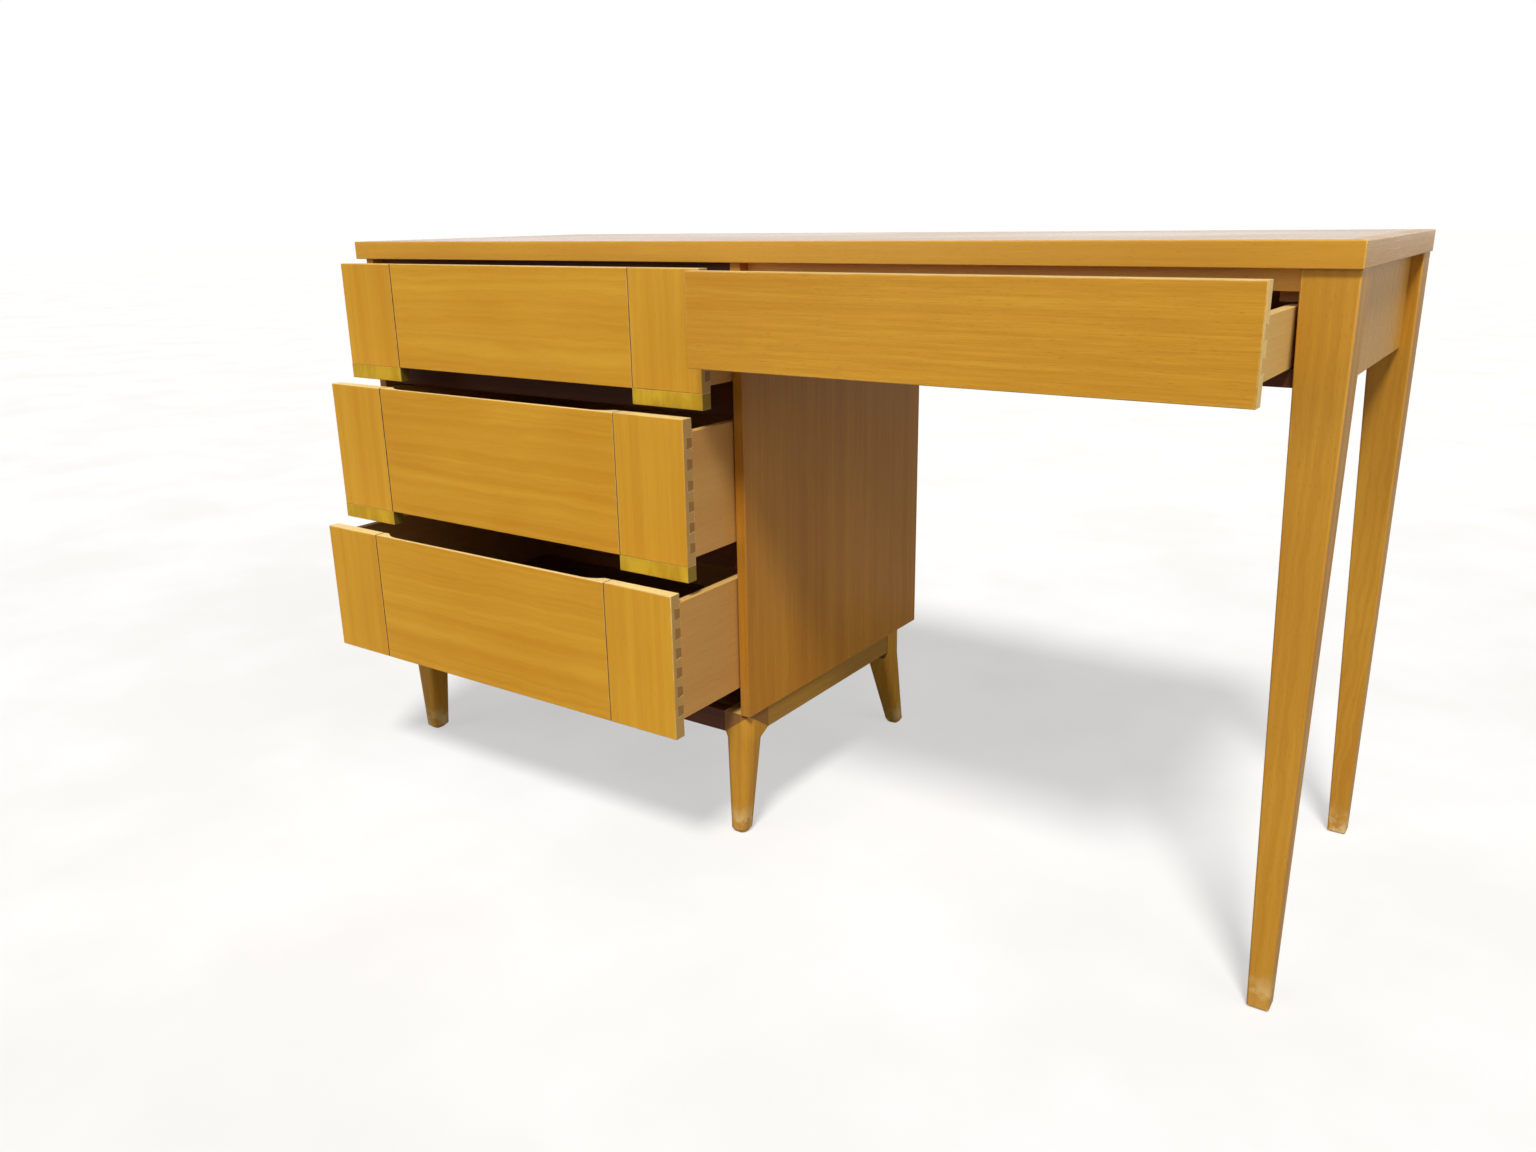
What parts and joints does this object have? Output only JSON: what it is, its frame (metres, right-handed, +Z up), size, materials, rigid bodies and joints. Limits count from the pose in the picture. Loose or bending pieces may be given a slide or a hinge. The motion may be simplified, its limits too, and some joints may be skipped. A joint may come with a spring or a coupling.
{
  "type": "writing desk",
  "caption": "Writing desk with a drawer pedestal at its left, a shallow drawer over the kneehole, tapered legs, brass-tipped drawer fronts and drawers that slide.",
  "frame": {"origin": "on the floor, under the middle of the desk's outline as it stands at rest with its drawers part open", "axes": "+X along the desktop towards the kneehole legs, +Y towards the back of the desk, +Z up"},
  "size_m": [1.328, 0.5836, 0.76],
  "materials": {
    "top_veneer": "polished lacquer over straight-grained honey veneer",
    "front_veneer": "satin lacquer over banded honey veneer",
    "solid_edging": "satin lacquer over solid honey hardwood",
    "case_veneer": "satin lacquer over straight-grained honey veneer",
    "leg_wood": "satin lacquer over solid honey hardwood, worn at the feet",
    "frame_wood": "thin brown stain on hidden frame wood",
    "drawer_wood": "bare hardwood, lightly sealed",
    "runner_wood": "bare hardwood",
    "plywood": "bare thin plywood",
    "brass": "aged satin brass sheet",
    "screw_steel": "zinc-plated steel"
  },
  "bodies": {
    "desk": {"base_corner_blocks": "runner_wood", "base_panel": "plywood", "base_rail_back": "frame_wood", "base_rail_front": "frame_wood", "base_rail_left": "case_veneer", "base_rail_right": "case_veneer", "desk_leg_front": "leg_wood", "desk_leg_rear": "leg_wood", "desktop_core": "top_veneer", "desktop_edge_back": "solid_edging", "desktop_edge_front": "solid_edging", "desktop_edge_left": "solid_edging", "desktop_edge_right": "solid_edging", "desktop_screws": "screw_steel", "drawer_rail_lower": "frame_wood", "drawer_rail_upper": "frame_wood", "kneehole_rail_lower": "frame_wood", "kneehole_rail_upper": "case_veneer", "pedestal_back_panel": "plywood", "pedestal_drawer_runners": "runner_wood", "pedestal_leg_front_left": "leg_wood", "pedestal_leg_front_right": "leg_wood", "pedestal_leg_rear_left": "leg_wood", "pedestal_leg_rear_right": "leg_wood", "pedestal_side_left": "case_veneer", "pedestal_side_right": "case_veneer", "pedestal_top_rail_back": "frame_wood", "pedestal_top_rail_front": "frame_wood", "pencil_drawer_kickers": "runner_wood", "pencil_drawer_runners": "runner_wood", "rear_apron": "case_veneer", "side_apron": "case_veneer"},
    "drawer_1": {"drawer_1_back": "drawer_wood", "drawer_1_bottom": "plywood", "drawer_1_brass_caps": "brass", "drawer_1_centre_panel": "front_veneer", "drawer_1_pilaster_left": "front_veneer", "drawer_1_pilaster_right": "front_veneer", "drawer_1_side_left": "drawer_wood", "drawer_1_side_right": "drawer_wood"},
    "drawer_2": {"drawer_2_back": "drawer_wood", "drawer_2_bottom": "plywood", "drawer_2_brass_caps": "brass", "drawer_2_centre_panel": "front_veneer", "drawer_2_pilaster_left": "front_veneer", "drawer_2_pilaster_right": "front_veneer", "drawer_2_side_left": "drawer_wood", "drawer_2_side_right": "drawer_wood"},
    "drawer_3": {"drawer_3_back": "drawer_wood", "drawer_3_bottom": "plywood", "drawer_3_centre_panel": "front_veneer", "drawer_3_pilaster_left": "front_veneer", "drawer_3_pilaster_right": "front_veneer", "drawer_3_side_left": "drawer_wood", "drawer_3_side_right": "drawer_wood"},
    "pencil_drawer": {"pencil_drawer_back": "drawer_wood", "pencil_drawer_bottom": "plywood", "pencil_drawer_front": "front_veneer", "pencil_drawer_side_left": "drawer_wood", "pencil_drawer_side_right": "drawer_wood"}
  },
  "joints": [
    {"name": "drawer_1_slide", "type": "slide", "parent": "desk", "child": "drawer_1", "axis": [0, -1, 0], "range_m": [-0.056, 0.244]},
    {"name": "drawer_2_slide", "type": "slide", "parent": "desk", "child": "drawer_2", "axis": [0, -1, 0], "range_m": [-0.094, 0.206]},
    {"name": "drawer_3_slide", "type": "slide", "parent": "desk", "child": "drawer_3", "axis": [0, -1, 0], "range_m": [-0.1275, 0.1725]},
    {"name": "pencil_drawer_slide", "type": "slide", "parent": "desk", "child": "pencil_drawer", "axis": [0, -1, 0], "range_m": [-0.104, 0.176]}
  ]
}
